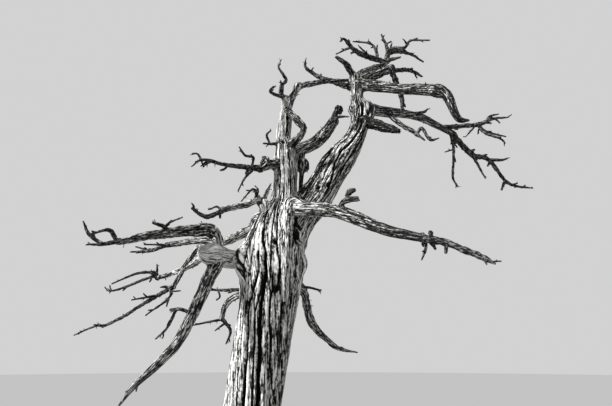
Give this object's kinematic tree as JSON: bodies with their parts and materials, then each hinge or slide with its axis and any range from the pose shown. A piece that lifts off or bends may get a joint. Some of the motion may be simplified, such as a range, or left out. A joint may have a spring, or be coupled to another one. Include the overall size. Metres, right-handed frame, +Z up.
{
  "type": "dead pine tree",
  "caption": "Dead, leafless mountain pine: a fluted, weathered trunk that forks into an upright and a leaning stem, with broken boughs and bare twigs.",
  "frame": {"origin": "the middle of the flat cut at the foot of the trunk, at ground level", "axes": "+Z up; +X to the right as seen in the picture, the way the leaning stem leans; +Y away from the viewer"},
  "size_m": [10.7147, 4.7599, 9.669],
  "materials": {
    "trunk_wood": "bare weathered wood, silver-grey, fluted and cracked",
    "bough_wood": "bare weathered wood, silver-grey",
    "twigs": "dry bare twigs, dark grey"
  },
  "bodies": {
    "root": {"trunk": "trunk_wood", "leaning_stem": "trunk_wood", "upper_right_bough": "bough_wood", "upper_right_forearm": "bough_wood", "crown_bough": "bough_wood", "crown_second_bough": "bough_wood", "crown_hooked_bough": "bough_wood", "bridge_rise": "bough_wood", "bridge_span": "bough_wood", "rising_bough": "bough_wood", "loop_bough": "bough_wood", "hanging_burl": "bough_wood", "left_upper_bough": "bough_wood", "left_middle_bough": "bough_wood", "left_spike": "bough_wood", "crook_bough": "bough_wood", "left_elbow_bough": "bough_wood", "left_long_riser": "bough_wood", "left_long_bough": "bough_wood", "left_drooping_bough": "bough_wood", "left_thin_bough": "bough_wood", "left_falling_bough": "bough_wood", "left_low_bough": "bough_wood", "right_low_bough": "bough_wood", "right_arm": "bough_wood", "lower_right_bough": "bough_wood", "right_side_bough": "bough_wood", "right_broken_stub": "bough_wood", "back_low_bough": "bough_wood", "back_upper_bough": "bough_wood", "back_leaning_bough": "bough_wood", "crown_left_twigs": "twigs", "crown_right_twigs": "twigs", "crown_drop_twigs": "twigs", "crown_spur_twigs": "twigs", "stem_top_twigs": "twigs", "stem_side_twigs": "twigs", "rising_twigs": "twigs", "left_upper_twigs": "twigs", "left_middle_twigs": "twigs", "left_arch_twigs": "twigs", "crook_twigs": "twigs", "left_long_twigs": "twigs", "left_long_spur_twigs": "twigs", "left_drooping_twigs": "twigs", "left_thin_twigs": "twigs", "left_falling_twigs": "twigs", "left_low_twigs": "twigs", "left_slim_twigs": "twigs", "right_slim_twigs": "twigs", "right_arm_twigs": "twigs", "right_arm_spur_twigs": "twigs", "right_arm_hanging_twigs": "twigs", "lower_right_twigs": "twigs", "lower_right_upper_twigs": "twigs", "lower_right_hanging_twigs": "twigs", "right_side_twigs": "twigs", "right_top_twigs": "twigs", "back_low_twigs": "twigs"}
  },
  "joints": []
}
